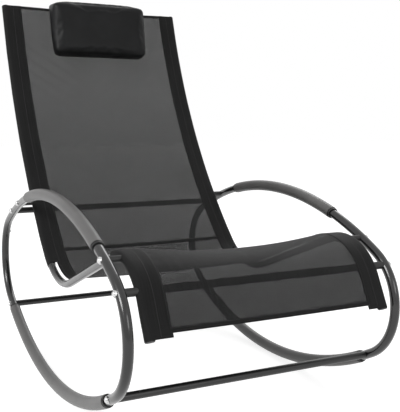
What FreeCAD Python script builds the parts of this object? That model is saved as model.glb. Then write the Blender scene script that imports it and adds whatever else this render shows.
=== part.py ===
"""Rocking chaise lounge: two oval tube hoops that roll on the floor, joined by round crossbars, with a
bent sling of woven mesh stretched between two side rails and a loose head pillow on straps.

Millimetres. X runs across the chair, the sitter faces -Y and +Z is up. The origin is the point of the
floor midway between the two rockers, where the chair rests."""
import FreeCAD
import Part
import Sketcher
import math
import os

V = FreeCAD.Vector
doc = FreeCAD.newDocument("RockingChaise")

# The driving sizes. Each is written once, here, and every piece below reads it from the sheet.
SIZES = [
    # The two oval hoops: each is four arcs, flat ones above and below, tight ones at the ends.
    ("hoop_spacing", 590.0),
    ("hoop_half_length", 472.5),
    ("hoop_half_height", 214.0),
    ("hoop_end_radius", 125.0),
    ("hoop_tube_od", 20.0),
    ("hoop_tube_wall", 1.5),
    # Where one hoop's upper and lower tube meet, and the plain tube that joins them inside.
    ("rear_joint_angle", 34.0),
    ("joint_offset", 14.0),
    ("spigot_length", 70.0),
    ("spigot_clearance", 0.15),
    ("spigot_wall", 1.5),
    # Sleeves slipped on the hoops as armrests above and as rocker pads below, with a ring at each end.
    # A setback is how far short of the hoop's front or rear end a place on it is.
    ("sleeve_od", 27.0),
    ("sleeve_clearance", 0.15),
    ("sleeve_ring_od", 25.0),
    ("sleeve_ring_length", 6.0),
    ("armrest_rear_right_setback", 282.5),
    ("armrest_front_right_setback", 156.5),
    ("armrest_rear_left_setback", 288.5),
    ("armrest_front_left_setback", 223.5),
    ("rocker_pad_rear_setback", 106.5),
    ("rocker_pad_front_setback", 104.5),
    # Round crossbars between the hoops. The front ones are of thicker tube, so that the chair balances.
    ("bar_od", 16.0),
    ("rear_bar_wall", 1.0),
    ("front_bar_wall", 2.0),
    ("rear_upper_bar_setback", 126.5),
    ("rear_lower_bar_setback", 88.5),
    ("front_lower_bar_setback", 80.5),
    ("tie_bar_angle", 134.8),
    ("cope_clearance", 0.2),
    ("plug_length", 18.0),
    ("plug_clearance", 0.05),
    # The bent side rails that carry the sling, inside the hoops. The two bolts set the seat's length.
    ("rail_gap", 19.0),
    ("rail_od", 18.0),
    ("rail_wall", 1.0),
    ("front_rail_bolt_setback", 113.1),
    ("rear_rail_bolt_setback", 198.53),
    ("leg_length", 69.0),
    ("leg_heading", 63.0),
    ("knee_radius", 118.0),
    ("seat_heading", -21.7),
    ("waist_radius", 178.0),
    ("waist_heading", 43.6),
    ("back_radius", 1516.0),
    ("top_heading", 72.6),
    ("cap_flange", 2.0),
    ("cap_plug_length", 15.0),
    ("cap_clearance", 0.2),
    # Screws: M6 button heads outside the hoops on curved washers, cap nuts inside the rails.
    ("screw_od", 6.0),
    ("screw_clearance", 0.2),
    ("head_od", 11.5),
    ("head_height", 3.4),
    ("washer_od", 14.0),
    ("washer_rise", 1.2),
    ("washer_wrap", 8.0),
    ("nut_flats", 10.0),
    ("nut_height", 5.0),
    ("rail_spacer_od", 14.0),
    ("tie_spacer_od", 16.0),
    ("splice_head_od", 8.0),
    ("splice_head_height", 2.2),
    ("splice_screw_od", 4.0),
    # The sling: side hems wrapped round the rails, edge strips where the rails are bare, and mesh.
    ("cloth", 0.8),
    ("hem_clearance", 0.15),
    ("hem_reach", 40.5),
    ("edge_gap", 11.0),
    ("eyelet_clearance", 0.5),
    ("front_hem_short", 10.4),
    ("back_hem_lead", 42.0),
    ("seam_width", 10.0),
    ("seam_thickness", 2.4),
    ("front_edge_setback", 8.0),
    ("front_edge_hem_width", 10.0),
    ("top_hem_width", 8.0),
    # Height of the mesh's middle above the rail's centreline, at places along the sling.
    ("rise_front_edge", 6.0),
    ("rise_tie_bar", 8.9),
    ("rise_knee", -6.0),
    ("rise_seat", -3.0),
    ("rise_waist", 8.0),
    ("rise_back", -7.0),
    ("rise_top", 4.0),
    # The head pillow, its two straps over the top hem and the weighted pouch that hangs behind.
    ("pillow_width", 275.0),
    ("pillow_height", 170.0),
    ("pillow_top_thickness", 72.0),
    ("pillow_foot_thickness", 42.0),
    ("pillow_top_slope", 30.0),
    ("pillow_crown", 3.9),
    ("pillow_rear_corner", 20.0),
    ("pillow_front_corner", 11.0),
    ("pillow_wall", 5.0),
    ("pillow_overhang", 15.0),
    ("pillow_clearance", 1.6),
    ("strap_width", 25.0),
    ("strap_thickness", 1.2),
    ("strap_spacing", 140.0),
    ("strap_clearance", 0.3),
    ("strap_drop", 58.0),
    ("strap_reach", 2.9),
    ("strap_turn_radius", 2.5),
    ("pouch_width", 200.0),
    ("pouch_height", 60.0),
    ("pouch_thickness", 16.0),
]
sheet = doc.addObject("Spreadsheet::Sheet", "Sizes")
for row, (name, value) in enumerate(SIZES, start=1):
    sheet.set(f"A{row}", name)
    sheet.set(f"B{row}", str(value))
    sheet.setAlias(f"B{row}", name)
doc.recompute()


def size(name):
    """A driving size, read back from the sheet."""
    return float(sheet.get(name))


class Track:
    """A flat line of straights and arcs, each running smoothly into the next, walked by length."""

    def __init__(self, y, z, heading, steps):
        """Each step is a length and a curvature: positive turns left, negative right, 0 is straight."""
        self.parts = []
        self.length = 0.0
        for length, bend in steps:
            self.parts.append((self.length, length, bend, y, z, heading))
            y, z, heading = self._walk(y, z, heading, bend, length)
            self.length += length

    @staticmethod
    def _walk(y, z, heading, bend, length):
        if bend == 0:
            return y + length * math.cos(heading), z + length * math.sin(heading), heading
        turned = heading + bend * length
        y += (math.sin(turned) - math.sin(heading)) / bend
        z += (math.cos(heading) - math.cos(turned)) / bend
        return y, z, turned

    def at(self, along, rise=0.0):
        """The point at a length along the line, moved to the left of it by the rise, and the heading."""
        part = [p for p in self.parts if p[0] <= along + 1e-9][-1] if along > 0 else self.parts[0]
        start, _, bend, y, z, heading = part
        y, z, heading = self._walk(y, z, heading, bend, along - start)
        return y - rise * math.sin(heading), z + rise * math.cos(heading), heading

    def edges(self, first, last, rise=0.0):
        """The line's curves between two lengths, drawn flat, as a sketch holds them."""
        found = []
        for start, length, bend, *_ in self.parts:
            low = max(first, start)
            high = min(last, start + length)
            if high - low < 1e-6:
                continue
            a = self.at(low + 1e-9, rise)
            m = self.at((low + high) / 2, rise)
            b = self.at(high - 1e-9, rise)
            if bend == 0:
                found.append(Part.LineSegment(V(a[0], a[1], 0), V(b[0], b[1], 0)))
            else:
                found.append(Part.Arc(V(a[0], a[1], 0), V(m[0], m[1], 0), V(b[0], b[1], 0)))
        return found


# The hoop's line runs from its rearmost point up, forward over the top, down and back underneath.
half_length = size("hoop_half_length")
half_height = size("hoop_half_height")
end_radius = size("hoop_end_radius")
reach = half_length - end_radius
flat_radius = (reach ** 2 + half_height ** 2 - end_radius ** 2) / (2 * (half_height - end_radius))
flat_half_angle = math.atan2(reach, flat_radius - half_height)
hoop_height = half_height + size("sleeve_od") / 2
end_quarter = end_radius * (math.pi / 2 - flat_half_angle)
flat_length = 2 * flat_radius * flat_half_angle
hoop = Track(half_length, hoop_height, math.pi / 2, [
    (end_quarter, 1 / end_radius),
    (flat_length, 1 / flat_radius),
    (2 * end_quarter, 1 / end_radius),
    (flat_length, 1 / flat_radius),
    (end_quarter, 1 / end_radius),
])
hoop_x = size("hoop_spacing") / 2
rail_x = hoop_x - size("hoop_tube_od") / 2 - size("rail_gap") - size("rail_od") / 2


def on_top(y):
    """How far along the hoop its upper arc stands over a given y."""
    return end_quarter + flat_radius * (flat_half_angle - math.asin(y / flat_radius))


def on_bottom(y):
    """How far along the hoop its lower arc stands under a given y."""
    return 3 * end_quarter + flat_length + flat_radius * (flat_half_angle + math.asin(y / flat_radius))


def on_front(angle):
    """How far along the hoop its front end stands at an angle, in degrees, about that end's centre."""
    return end_quarter + flat_length + end_radius * (math.radians(angle - 90) - flat_half_angle)


def from_rear(place):
    """The y of a place that is given by its setback from the hoop's rear end."""
    return half_length - size(place + "_setback")


def from_front(place):
    return size(place + "_setback") - half_length


# The rail's knee is an arc through two points of the hoop, where it is bolted; the rest runs on from it.
tie_along = on_front(size("tie_bar_angle"))
front_bolt_along = on_top(from_front("front_rail_bolt"))
tie_y, tie_z, _ = hoop.at(tie_along)
bolt_y, bolt_z, _ = hoop.at(front_bolt_along)
chord = math.hypot(bolt_y - tie_y, bolt_z - tie_z)
chord_heading = math.atan2(bolt_z - tie_z, bolt_y - tie_y)
knee_radius = size("knee_radius")
depth = math.sqrt(knee_radius ** 2 - chord ** 2 / 4)
knee_y = (tie_y + bolt_y) / 2 + depth * math.sin(chord_heading)
knee_z = (tie_z + bolt_z) / 2 - depth * math.cos(chord_heading)
leg = math.radians(size("leg_heading"))
slope = math.radians(size("seat_heading"))
waist = math.radians(size("waist_heading"))
top = math.radians(size("top_heading"))
knee_start = size("leg_length")
knee_end = knee_start + knee_radius * (leg - slope)


def rail_with(seat):
    """The rail's line for a given length of its straight seat."""
    return Track(
        knee_y - knee_radius * math.sin(leg) - knee_start * math.cos(leg),
        knee_z + knee_radius * math.cos(leg) - knee_start * math.sin(leg),
        leg,
        [
            (knee_start, 0),
            (knee_radius * (leg - slope), -1 / knee_radius),
            (seat, 0),
            (size("waist_radius") * (waist - slope), 1 / size("waist_radius")),
            (size("back_radius") * (top - waist), 1 / size("back_radius")),
        ],
    )


def nearest_along(line, y, z):
    """How far along a line the point nearest to a given one lies."""
    low, high = 0.0, line.length
    for _ in range(6):
        step = (high - low) / 60
        spots = [low + i * step for i in range(61)]
        best = min(spots, key=lambda spot: math.dist(line.at(spot)[:2], (y, z)))
        low, high = max(0.0, best - step), min(line.length, best + step)
    return best


# The seat is as long as it must be for the back to cross the hoop where the rear rail bolt goes through.
rear_bolt_along = on_top(from_rear("rear_rail_bolt"))
rear_bolt_y, rear_bolt_z, _ = hoop.at(rear_bolt_along)
shortest, longest = 0.1 * half_length, 1.5 * half_length
for _ in range(40):
    seat_length = (shortest + longest) / 2
    trial = rail_with(seat_length)
    near_y, near_z, heading = trial.at(nearest_along(trial, rear_bolt_y, rear_bolt_z))
    behind = (rear_bolt_y - near_y) * math.sin(heading) - (rear_bolt_z - near_z) * math.cos(heading)
    if behind > 0:
        shortest = seat_length
    else:
        longest = seat_length
rail = rail_with(seat_length)
seat_end = knee_end + seat_length
waist_end = seat_end + size("waist_radius") * (waist - slope)


def rail_along(y, z):
    return nearest_along(rail, y, z)


nodes = {}


def keep(obj, label):
    """Names a finished piece, which then gets a file of its own."""
    obj.Label = label
    nodes[label] = obj
    return obj


def plane(body, role):
    return next(o for o in body.Origin.OriginFeatures if o.Role == role)


def sketch_on(body, role, offset, name):
    sketch = body.newObject("Sketcher::SketchObject", name)
    sketch.AttachmentSupport = [(plane(body, role), "")]
    sketch.MapMode = "FlatFace"
    sketch.AttachmentOffset = offset
    return sketch


def path_sketch(body, x, track, first, last):
    """The line that a bent piece follows, in the upright plane at x."""
    path = sketch_on(body, "YZ_Plane", FreeCAD.Placement(V(0, 0, x), FreeCAD.Rotation()), "Path")
    for curve in track.edges(first, last):
        path.addGeometry(curve)
    return path


def section_sketch(body, x, track, first):
    """An empty sketch across the start of that line: its X is the chair's, its Y points to the left."""
    y, z, heading = track.at(first)
    turn = FreeCAD.Rotation(V(1, 0, 0), math.degrees(heading) + 90)
    return sketch_on(body, "XY_Plane", FreeCAD.Placement(V(x, y, z), turn), "Section")


def run_along(body, path, section):
    pipe = body.newObject("PartDesign::AdditivePipe", "Sweep")
    pipe.Profile = section
    pipe.Spine = (path, [f"Edge{i + 1}" for i in range(path.GeometryCount)])
    pipe.Mode = "Binormal"
    pipe.Binormal = V(1, 0, 0)
    body.Tip = pipe


def bent_tube(label, x, track, first, last, outer, inner):
    """A round tube bent along part of a line; outer and inner are radii, as the sheet works them out."""
    body = doc.addObject("PartDesign::Body", label + "_body")
    path = path_sketch(body, x, track, first, last)
    section = section_sketch(body, x, track, first)
    for name, radius, drawn in (("outer", outer, 9.0), ("inner", inner, 5.0)):
        index = section.addGeometry(Part.Circle(V(0, 0, 0), V(0, 0, 1), drawn))
        section.addConstraint(Sketcher.Constraint("Coincident", index, 3, -1, 1))
        constraint = section.addConstraint(Sketcher.Constraint("Radius", index, drawn))
        section.renameConstraint(constraint, name)
        section.setExpression("Constraints." + name, radius)
    run_along(body, path, section)
    return body


def rod(name, radius, first, last, y, z):
    """A round bar across the chair, from one x to another, its radius worked out in the sheet."""
    bar = doc.addObject("Part::Cylinder", name)
    bar.setExpression("Radius", radius)
    bar.Height = abs(last - first)
    bar.Placement = FreeCAD.Placement(V(min(first, last), y, z), FreeCAD.Rotation(V(0, 1, 0), 90))
    return bar


def tube_space(name, radius, x, track, along):
    """The space that a bent tube takes up near one spot, for coping what butts against it."""
    y, z, heading = track.at(along)
    space = doc.addObject("Part::Cylinder", name)
    space.setExpression("Radius", radius)
    space.Height = 80
    ahead = V(0, math.cos(heading), math.sin(heading))
    space.Placement = FreeCAD.Placement(V(x, y, z) - ahead * 40, FreeCAD.Rotation(V(0, 0, 1), ahead))
    return space


def group(name, members):
    bunch = doc.addObject("Part::Compound", name)
    bunch.Links = members
    return bunch


def cut(name, base, tools):
    result = doc.addObject("Part::Cut", name)
    result.Base = base
    result.Tool = tools[0] if len(tools) == 1 else group(name + "_tools", tools)
    return result


def mirrored(name, source):
    """The same piece on the other side of the chair."""
    other = doc.addObject("Part::Mirroring", name)
    other.Source = source
    other.Base = V(0, 0, 0)
    other.Normal = V(1, 0, 0)
    return other


HOOP_SPACE = "Sizes.hoop_tube_od / 2 + Sizes.cope_clearance"
RAIL_SPACE = "Sizes.rail_od / 2 + Sizes.cope_clearance"
SCREW_HOLE = "Sizes.screw_od / 2 + Sizes.screw_clearance"

# The screw spots: along which line, and how far.
upper_bar_along = on_top(from_rear("rear_upper_bar"))
lower_bar_along = on_bottom(from_rear("rear_lower_bar"))
front_bar_along = on_bottom(from_front("front_lower_bar"))
splice_along = end_radius * math.radians(size("rear_joint_angle"))
rear_seam = splice_along - size("joint_offset")
front_seam = front_bolt_along + size("joint_offset")

# The hoops. Each is an upper tube, the armrest side, and a lower tube, the rocker side.
upper_body = bent_tube(
    "hoop_upper", -hoop_x, hoop, rear_seam, front_seam,
    "Sizes.hoop_tube_od / 2", "Sizes.hoop_tube_od / 2 - Sizes.hoop_tube_wall",
)
lower_body = bent_tube(
    "hoop_lower", -hoop_x, hoop, front_seam, hoop.length,
    "Sizes.hoop_tube_od / 2", "Sizes.hoop_tube_od / 2 - Sizes.hoop_tube_wall",
)
tail_body = bent_tube(
    "hoop_tail", -hoop_x, hoop, 0.0, rear_seam,
    "Sizes.hoop_tube_od / 2", "Sizes.hoop_tube_od / 2 - Sizes.hoop_tube_wall",
)
lower_whole = doc.addObject("Part::Fuse", "hoop_lower_whole")
lower_whole.Base = lower_body
lower_whole.Tool = tail_body
lower_whole.Refine = True


def holes(name, spots, radius=SCREW_HOLE):
    """Straight holes across a hoop at several spots along it."""
    made = []
    for number, along in enumerate(spots, start=1):
        y, z, _ = hoop.at(along)
        made.append(rod(f"{name}_{number}", radius, -hoop_x - 20, -hoop_x + 20, y, z))
    return made


splice_y, splice_z, _ = hoop.at(splice_along)
splice_hole = rod(
    "splice_hole", "Sizes.splice_screw_od / 2 + Sizes.screw_clearance",
    -hoop_x, -hoop_x + 20, splice_y, splice_z,
)
upper_holes = holes("upper_hole", [upper_bar_along, rear_bolt_along, front_bolt_along])
upper_right = keep(cut("upper_right", upper_body, upper_holes + [splice_hole]), "hoop_upper_tube_right")
keep(mirrored("upper_left", upper_right), "hoop_upper_tube_left")
lower_holes = holes("lower_hole", [tie_along, front_bar_along, lower_bar_along])
lower_right = keep(cut("lower_right", lower_whole, lower_holes), "hoop_lower_tube_right")
keep(mirrored("lower_left", lower_right), "hoop_lower_tube_left")

# Inside each seam a short tube joins the two, held by a small screw behind and by the rail bolt in front.
spigots = []
for place, middle in (("rear", rear_seam), ("front", front_seam)):
    spigot = bent_tube(
        f"{place}_spigot", -hoop_x, hoop, middle - size("spigot_length") / 2, middle + size("spigot_length") / 2,
        "Sizes.hoop_tube_od / 2 - Sizes.hoop_tube_wall - Sizes.spigot_clearance",
        "Sizes.hoop_tube_od / 2 - Sizes.hoop_tube_wall - Sizes.spigot_clearance - Sizes.spigot_wall",
    )
    hole = splice_hole if place == "rear" else upper_holes[-1]
    spigot = cut(f"{place}_spigot_drilled", spigot, [hole])
    spigots += [spigot, mirrored(f"{place}_spigot_left", spigot)]
keep(group("spigots", spigots), "hoop_joint_spigots")

# Armrest sleeves above, rocker pads below, and a ring at each end of each.
SLEEVE_BORE = "Sizes.hoop_tube_od / 2 + Sizes.sleeve_clearance"
sleeve_spans = [
    ("armrest_sleeve_right", -1, on_top(from_rear("armrest_rear_right")), on_top(from_front("armrest_front_right"))),
    ("armrest_sleeve_left", 1, on_top(from_rear("armrest_rear_left")), on_top(from_front("armrest_front_left"))),
    ("rocker_pad_right", -1, on_bottom(from_front("rocker_pad_front")), on_bottom(from_rear("rocker_pad_rear"))),
    ("rocker_pad_left", 1, on_bottom(from_front("rocker_pad_front")), on_bottom(from_rear("rocker_pad_rear"))),
]
end_rings = []
for label, side, first, last in sleeve_spans:
    x = side * hoop_x
    keep(bent_tube(label, x, hoop, first, last, "Sizes.sleeve_od / 2", SLEEVE_BORE), label)
    for end, low, high in (
        ("first", first - size("sleeve_ring_length"), first),
        ("last", last, last + size("sleeve_ring_length")),
    ):
        end_rings.append(bent_tube(f"{label}_{end}_ring", x, hoop, low, high, "Sizes.sleeve_ring_od / 2", SLEEVE_BORE))
keep(group("end_rings", end_rings), "sleeve_end_rings")


def hollow_bar(label, wall, half, y, z, space):
    """A tube across the chair whose two ends are coped to the round tubes that it meets."""
    bar = rod(label + "_bar", "Sizes.bar_od / 2", -half, half, y, z)
    bore = rod(label + "_bore", f"Sizes.bar_od / 2 - Sizes.{wall}", -half - 1, half + 1, y, z)
    hollow = cut(label + "_hollow", bar, [bore])
    return keep(cut(label + "_coped", hollow, [space, mirrored(label + "_far_space", space)]), label)


def end_plug(name, wall, outside, y, z):
    """A threaded plug just inside a bar's end, starting a little short of the tube that the bar meets."""
    inside = outside - size("plug_length")
    plug = rod(
        name, f"Sizes.bar_od / 2 - Sizes.{wall} - Sizes.plug_clearance", -outside, -inside, y, z,
    )
    bore = rod(name + "_bore", "Sizes.screw_od / 2 + Sizes.plug_clearance", -outside - 1, -inside + 1, y, z)
    return cut(name + "_threaded", plug, [bore])


plugs = []
hoop_stop = hoop_x - size("hoop_tube_od") / 2 - 2 * size("cope_clearance")
rail_stop = rail_x - size("rail_od") / 2 - 2 * size("cope_clearance")
for label, wall, along in (
    ("crossbar_rear_upper", "rear_bar_wall", upper_bar_along),
    ("crossbar_rear_lower", "rear_bar_wall", lower_bar_along),
    ("crossbar_front_lower", "front_bar_wall", front_bar_along),
):
    y, z, _ = hoop.at(along)
    hollow_bar(label, wall, hoop_x, y, z, tube_space(label + "_space", HOOP_SPACE, -hoop_x, hoop, along))
    plugs.append(end_plug(label + "_plug", wall, hoop_stop, y, z))
tie_rail_along = rail_along(tie_y, tie_z)
front_rail_along = rail_along(bolt_y, bolt_z)
rear_rail_along = rail_along(rear_bolt_y, rear_bolt_z)
hollow_bar(
    "front_tie_bar", "front_bar_wall", rail_x, tie_y, tie_z,
    tube_space("tie_space", RAIL_SPACE, -rail_x, rail, tie_rail_along),
)
plugs.append(end_plug("tie_plug", "front_bar_wall", rail_stop, tie_y, tie_z))
keep(group("plugs", plugs + [mirrored(plug.Name + "_left", plug) for plug in plugs]), "bar_end_plugs")

# The side rails, drilled where the tie bar and the two rail bolts go through.
rail_body = bent_tube(
    "rail", -rail_x, rail, 0.0, rail.length, "Sizes.rail_od / 2", "Sizes.rail_od / 2 - Sizes.rail_wall",
)
rail_spots = [("tie", tie_y, tie_z), ("front", bolt_y, bolt_z), ("rear", rear_bolt_y, rear_bolt_z)]
rail_holes = [
    rod(f"{place}_rail_hole", SCREW_HOLE, -rail_x - 20, -rail_x + 20, y, z) for place, y, z in rail_spots
]
rail_right = keep(cut("rail_right", rail_body, rail_holes), "sling_rail_right")
keep(mirrored("rail_left", rail_right), "sling_rail_left")


def rail_cap(name, along, outward):
    """A plug pushed into a rail's open end, with a flange that covers the cut."""
    y, z, heading = rail.at(along)
    way = V(0, math.cos(heading), math.sin(heading)) * outward
    turn = FreeCAD.Rotation(V(0, 0, 1), way)
    flange = doc.addObject("Part::Cylinder", name + "_flange")
    flange.setExpression("Radius", "Sizes.rail_od / 2")
    flange.setExpression("Height", "Sizes.cap_flange")
    flange.Placement = FreeCAD.Placement(V(-rail_x, y, z), turn)
    plug = doc.addObject("Part::Cylinder", name + "_plug")
    plug.setExpression("Radius", "Sizes.rail_od / 2 - Sizes.rail_wall - Sizes.cap_clearance")
    plug.setExpression("Height", "Sizes.cap_plug_length + Sizes.cap_flange / 2")
    plug.Placement = FreeCAD.Placement(V(-rail_x, y, z) - way * size("cap_plug_length"), turn)
    cap = doc.addObject("Part::Fuse", name)
    cap.Base = flange
    cap.Tool = plug
    return cap


caps = [rail_cap("front_cap", 0.0, -1), rail_cap("top_cap", rail.length, 1)]
keep(group("caps", caps + [mirrored(cap.Name + "_left", cap) for cap in caps]), "rail_end_caps")

# Spacers between hoop and rail, coped at both ends: slim ones at the rail bolts, thick ones at the tie bar.
spacers = {"rail_spacers": [], "tie_bar_spacers": []}
for place, y, z, along, on_rail, node in (
    ("front", bolt_y, bolt_z, front_bolt_along, front_rail_along, "rail_spacers"),
    ("rear", rear_bolt_y, rear_bolt_z, rear_bolt_along, rear_rail_along, "rail_spacers"),
    ("tie", tie_y, tie_z, tie_along, tie_rail_along, "tie_bar_spacers"),
):
    width = "Sizes.tie_spacer_od / 2" if place == "tie" else "Sizes.rail_spacer_od / 2"
    blank = rod(f"{place}_spacer_blank", width, -hoop_x, -rail_x, y, z)
    spacer = cut(f"{place}_spacer", blank, [
        tube_space(f"{place}_hoop_space", HOOP_SPACE, -hoop_x, hoop, along),
        tube_space(f"{place}_rail_space", RAIL_SPACE, -rail_x, rail, on_rail),
        rod(f"{place}_spacer_bore", SCREW_HOLE, -hoop_x - 1, -rail_x + 1, y, z),
    ])
    spacers[node] += [spacer, mirrored(f"{place}_spacer_left", spacer)]
for node, pieces in spacers.items():
    keep(group(node + "_all", pieces), node)

# Curved washers: flat outside for the screw's head or the nut, hollowed to the tube inside.
head_seat = hoop_x + size("hoop_tube_od") / 2 + size("washer_rise")
nut_seat = rail_x - size("rail_od") / 2 - size("washer_rise")
hoop_spots = [
    ("upper_bar", upper_bar_along), ("lower_bar", lower_bar_along), ("front_bar", front_bar_along),
    ("tie", tie_along), ("front", front_bolt_along), ("rear", rear_bolt_along),
]
washers = []
for place, along in hoop_spots:
    y, z, _ = hoop.at(along)
    blank = rod(f"{place}_washer_blank", "Sizes.washer_od / 2", -head_seat, -head_seat + size("washer_wrap"), y, z)
    washers.append(cut(f"{place}_washer", blank, [
        tube_space(f"{place}_washer_space", HOOP_SPACE, -hoop_x, hoop, along),
        rod(f"{place}_washer_bore", SCREW_HOLE, -head_seat - 1, -hoop_x, y, z),
    ]))
for place, y, z, on_rail in (
    ("front", bolt_y, bolt_z, front_rail_along),
    ("rear", rear_bolt_y, rear_bolt_z, rear_rail_along),
):
    blank = rod(f"{place}_nut_washer_blank", "Sizes.washer_od / 2", -nut_seat - size("washer_wrap"), -nut_seat, y, z)
    washers.append(cut(f"{place}_nut_washer", blank, [
        tube_space(f"{place}_nut_washer_space", RAIL_SPACE, -rail_x, rail, on_rail),
        rod(f"{place}_nut_washer_bore", SCREW_HOLE, -rail_x, -nut_seat + 1, y, z),
    ]))
keep(group("washers", washers + [mirrored(w.Name + "_left", w) for w in washers]), "saddle_washers")


def button_screw(name, seat, tip, y, z):
    """A domed head on the washer's flat and a plain shank that ends at the tip, one turned solid."""
    body = doc.addObject("PartDesign::Body", name)
    half = sketch_on(
        body, "XY_Plane", FreeCAD.Placement(V(-seat, y, z), FreeCAD.Rotation()), "HalfSection",
    )
    head = size("head_od") / 2
    shank = size("screw_od") / 2
    rise = size("head_height")
    outline = [V(-rise, 0, 0), V(-rise, head * 0.45, 0), V(0, head, 0), V(0, shank, 0)]
    outline += [V(seat - tip, shank, 0), V(seat - tip, 0, 0)]
    dome = Part.Arc(outline[1], V(-rise * 0.62, head * 0.85, 0), outline[2])
    for start, end in ((0, 1), (2, 3), (3, 4), (4, 5), (5, 0)):
        half.addGeometry(Part.LineSegment(outline[start], outline[end]))
    half.addGeometry(dome)
    turned = body.newObject("PartDesign::Revolution", "Turned")
    turned.Profile = half
    turned.ReferenceAxis = (half, ["H_Axis"])
    turned.Angle = 360
    body.Tip = turned
    return body


bar_tip = hoop_stop - size("plug_length") + 1
screws = {"crossbar_screws": [], "tie_bar_screws": [], "rail_screws": []}
for place, along in hoop_spots:
    y, z, _ = hoop.at(along)
    node = {"tie": "tie_bar_screws", "front": "rail_screws", "rear": "rail_screws"}.get(place, "crossbar_screws")
    tip = {
        "tie_bar_screws": rail_stop - size("plug_length") + 1,
        "rail_screws": nut_seat - size("nut_height") - 1,
        "crossbar_screws": bar_tip,
    }[node]
    screw = button_screw(f"{place}_screw", head_seat, tip, y, z)
    screws[node] += [screw, mirrored(f"{place}_screw_left", screw)]
for node, pieces in screws.items():
    keep(group(node + "_all", pieces), node)

# Cap nuts on the inner ends of the rail screws: a hexagon with a dome that covers the thread.
nuts = []
for place, y, z in (("front", bolt_y, bolt_z), ("rear", rear_bolt_y, rear_bolt_z)):
    seat = FreeCAD.Placement(V(-nut_seat, y, z), FreeCAD.Rotation(V(0, 1, 0), 90))
    hexagon = doc.addObject("Part::Prism", f"{place}_nut_hexagon")
    hexagon.Polygon = 6
    hexagon.setExpression("Circumradius", "Sizes.nut_flats / 2 / cos(30)")
    hexagon.setExpression("Height", "Sizes.nut_height")
    hexagon.Placement = seat
    dome = doc.addObject("Part::Sphere", f"{place}_nut_dome")
    dome.setExpression("Radius", "Sizes.nut_flats / 2 - 0.2")
    dome.Placement = FreeCAD.Placement(V(-nut_seat + size("nut_height"), y, z), FreeCAD.Rotation())
    blank = doc.addObject("Part::Fuse", f"{place}_nut_blank")
    blank.Base = hexagon
    blank.Tool = dome
    thread = rod(
        f"{place}_nut_thread", "Sizes.screw_od / 2 + Sizes.plug_clearance",
        -nut_seat - 1, -nut_seat + size("nut_height") + 2, y, z,
    )
    nut = cut(f"{place}_nut", blank, [thread])
    nuts += [nut, mirrored(f"{place}_nut_left", nut)]
keep(group("nuts", nuts), "rail_cap_nuts")

# Small screws on the hoops' inner faces hold the rear seams together.
splice_seat = hoop_x - size("hoop_tube_od") / 2
splice_head = doc.addObject("Part::Cone", "splice_head")
splice_head.setExpression("Radius1", "Sizes.splice_head_od / 2")
splice_head.setExpression("Radius2", "Sizes.splice_head_od / 3")
splice_head.setExpression("Height", "Sizes.splice_head_height")
splice_head.Placement = FreeCAD.Placement(V(-splice_seat, splice_y, splice_z), FreeCAD.Rotation(V(0, 1, 0), 90))
splice_shank = rod("splice_shank", "Sizes.splice_screw_od / 2", -splice_seat - 5, -splice_seat + 1, splice_y, splice_z)
splice = doc.addObject("Part::Fuse", "splice_screw")
splice.Base = splice_head
splice.Tool = splice_shank
keep(group("splice_screws_all", [splice, mirrored("splice_screw_left", splice)]), "splice_screws")

# The sling's hems. A hem is a loop of cloth round the rail that runs inward as a doubled flat strip.
cloth = size("cloth")
loop_inner = size("rail_od") / 2 + size("hem_clearance")
loop_outer = loop_inner + cloth
strip_low = loop_outer - 2 * cloth
hem_reach = size("hem_reach")
front_hem_end = knee_end - size("front_hem_short")
back_hem_start = waist_end - size("back_hem_lead")


def side_hem(label, first, last, spots):
    """A hem along part of the rail, with an eyelet where each screw and its spacer come through."""
    body = doc.addObject("PartDesign::Body", label + "_cloth")
    path = path_sketch(body, -rail_x, rail, first, last)
    section = section_sketch(body, -rail_x, rail, first)
    corner = math.sqrt(loop_outer ** 2 - strip_low ** 2)
    outline = [V(0, loop_outer, 0), V(hem_reach, loop_outer, 0), V(hem_reach, strip_low, 0), V(corner, strip_low, 0)]
    for start, end in zip(outline, outline[1:]):
        section.addGeometry(Part.LineSegment(start, end))
    section.addGeometry(Part.Arc(outline[-1], V(0, -loop_outer, 0), V(-loop_outer, 0, 0)))
    turn = loop_outer * math.sqrt(0.5)
    section.addGeometry(Part.Arc(V(-loop_outer, 0, 0), V(-turn, turn, 0), outline[0]))
    index = section.addGeometry(Part.Circle(V(0, 0, 0), V(0, 0, 1), loop_inner))
    section.addConstraint(Sketcher.Constraint("Coincident", index, 3, -1, 1))
    constraint = section.addConstraint(Sketcher.Constraint("Radius", index, loop_inner))
    section.renameConstraint(constraint, "loop")
    section.setExpression("Constraints.loop", "Sizes.rail_od / 2 + Sizes.hem_clearance")
    run_along(body, path, section)
    eyelets = [
        rod(f"{label}_{place}_eyelet", f"{width} / 2 + Sizes.eyelet_clearance", -rail_x - 15, -rail_x + 12, y, z)
        for place, y, z, width in spots
    ]
    right = keep(cut(label + "_pierced", body, eyelets), label + "_right")
    keep(mirrored(label + "_pierced_left", right), label + "_left")


side_hem("front_side_hem", 0.0, front_hem_end, [
    ("tie", tie_y, tie_z, "Sizes.tie_spacer_od"),
    ("bolt", bolt_y, bolt_z, "Sizes.washer_od"),
])
side_hem("back_side_hem", back_hem_start, rail.length, [
    ("bolt", rear_bolt_y, rear_bolt_z, "Sizes.washer_od"),
])

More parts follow.
